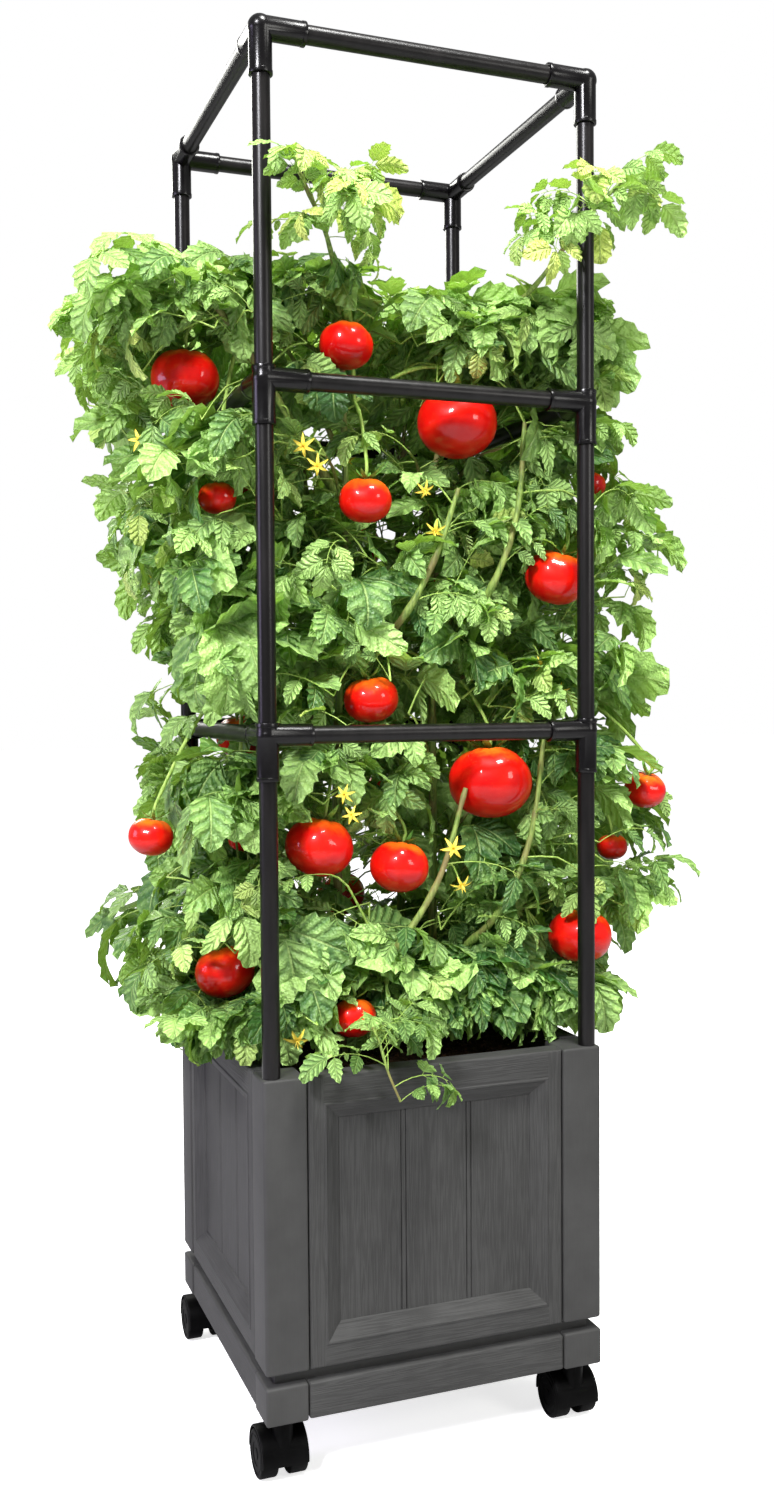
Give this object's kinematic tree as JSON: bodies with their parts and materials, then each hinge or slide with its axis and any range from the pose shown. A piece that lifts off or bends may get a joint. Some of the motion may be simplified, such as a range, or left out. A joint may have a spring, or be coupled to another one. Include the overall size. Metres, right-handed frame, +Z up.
{
  "type": "potted tomato plant",
  "caption": "Tomato plant with ripe fruit growing through a square tube trellis that stands in a panelled planter box on swivel casters.",
  "frame": {"origin": "on the ground under the middle of the planter", "axes": "+Z up, +X to the right along the front face, +Y from the front to the back"},
  "size_m": [0.7518, 0.5708, 1.5039],
  "materials": {
    "planter_shell": "matte",
    "soil": "matte",
    "trellis_tube": "satin",
    "trellis_fitting": "gloss",
    "caster": "satin",
    "vine": "satin",
    "tomato": "gloss"
  },
  "bodies": {
    "planter": {"corner_post_front_left": "planter_shell", "corner_post_front_right": "planter_shell", "corner_post_back_right": "planter_shell", "corner_post_back_left": "planter_shell", "side_panel_front": "planter_shell", "side_panel_right": "planter_shell", "side_panel_back": "planter_shell", "side_panel_left": "planter_shell", "base_tray": "planter_shell", "soil": "soil", "trellis_post_front_left": "trellis_tube", "trellis_post_front_right": "trellis_tube", "trellis_post_back_right": "trellis_tube", "trellis_post_back_left": "trellis_tube", "fitting_lower_front_left": "trellis_fitting", "fitting_lower_front_right": "trellis_fitting", "fitting_lower_back_right": "trellis_fitting", "fitting_lower_back_left": "trellis_fitting", "fitting_middle_front_left": "trellis_fitting", "fitting_middle_front_right": "trellis_fitting", "fitting_middle_back_right": "trellis_fitting", "fitting_middle_back_left": "trellis_fitting", "fitting_top_front_left": "trellis_fitting", "fitting_top_front_right": "trellis_fitting", "fitting_top_back_right": "trellis_fitting", "fitting_top_back_left": "trellis_fitting", "rail_lower_front": "trellis_tube", "rail_lower_right": "trellis_tube", "rail_lower_back": "trellis_tube", "rail_lower_left": "trellis_tube", "rail_middle_front": "trellis_tube", "rail_middle_right": "trellis_tube", "rail_middle_back": "trellis_tube", "rail_middle_left": "trellis_tube", "rail_top_front": "trellis_tube", "rail_top_right": "trellis_tube", "rail_top_back": "trellis_tube", "rail_top_left": "trellis_tube", "vine_front_left": "vine", "vine_front_right": "vine", "vine_back_right": "vine", "vine_back_left": "vine", "truss_left_upper": "tomato", "truss_front_upper": "tomato", "truss_right_upper": "tomato", "truss_left_middle": "tomato", "truss_front_middle": "tomato", "truss_front_lower": "tomato", "truss_right_lower": "tomato", "truss_left_lower": "tomato", "truss_back_upper": "tomato", "truss_back_lower": "tomato"},
    "caster_front_left": {"caster_hood_front_left": "caster"},
    "wheels_front_left": {"caster_wheels_front_left": "caster"},
    "caster_front_right": {"caster_hood_front_right": "caster"},
    "wheels_front_right": {"caster_wheels_front_right": "caster"},
    "caster_back_right": {"caster_hood_back_right": "caster"},
    "wheels_back_right": {"caster_wheels_back_right": "caster"},
    "caster_back_left": {"caster_hood_back_left": "caster"},
    "wheels_back_left": {"caster_wheels_back_left": "caster"}
  },
  "joints": [
    {"name": "caster_swivel_front_left", "type": "hinge", "parent": "planter", "child": "caster_front_left", "pos_m": [-0.1715, -0.1715, 0.068], "axis": [0, 0, 1], "continuous": true},
    {"name": "caster_roll_front_left", "type": "hinge", "parent": "caster_front_left", "child": "wheels_front_left", "pos_m": [-0.1715, -0.1565, 0.025], "axis": [1, 0, 0], "continuous": true},
    {"name": "caster_swivel_front_right", "type": "hinge", "parent": "planter", "child": "caster_front_right", "pos_m": [0.1715, -0.1715, 0.068], "axis": [0, 0, 1], "continuous": true},
    {"name": "caster_roll_front_right", "type": "hinge", "parent": "caster_front_right", "child": "wheels_front_right", "pos_m": [0.1715, -0.1565, 0.025], "axis": [1, 0, 0], "continuous": true},
    {"name": "caster_swivel_back_right", "type": "hinge", "parent": "planter", "child": "caster_back_right", "pos_m": [0.1715, 0.1715, 0.068], "axis": [0, 0, 1], "continuous": true},
    {"name": "caster_roll_back_right", "type": "hinge", "parent": "caster_back_right", "child": "wheels_back_right", "pos_m": [0.1715, 0.1865, 0.025], "axis": [1, 0, 0], "continuous": true},
    {"name": "caster_swivel_back_left", "type": "hinge", "parent": "planter", "child": "caster_back_left", "pos_m": [-0.1715, 0.1715, 0.068], "axis": [0, 0, 1], "continuous": true},
    {"name": "caster_roll_back_left", "type": "hinge", "parent": "caster_back_left", "child": "wheels_back_left", "pos_m": [-0.1715, 0.1865, 0.025], "axis": [1, 0, 0], "continuous": true}
  ]
}
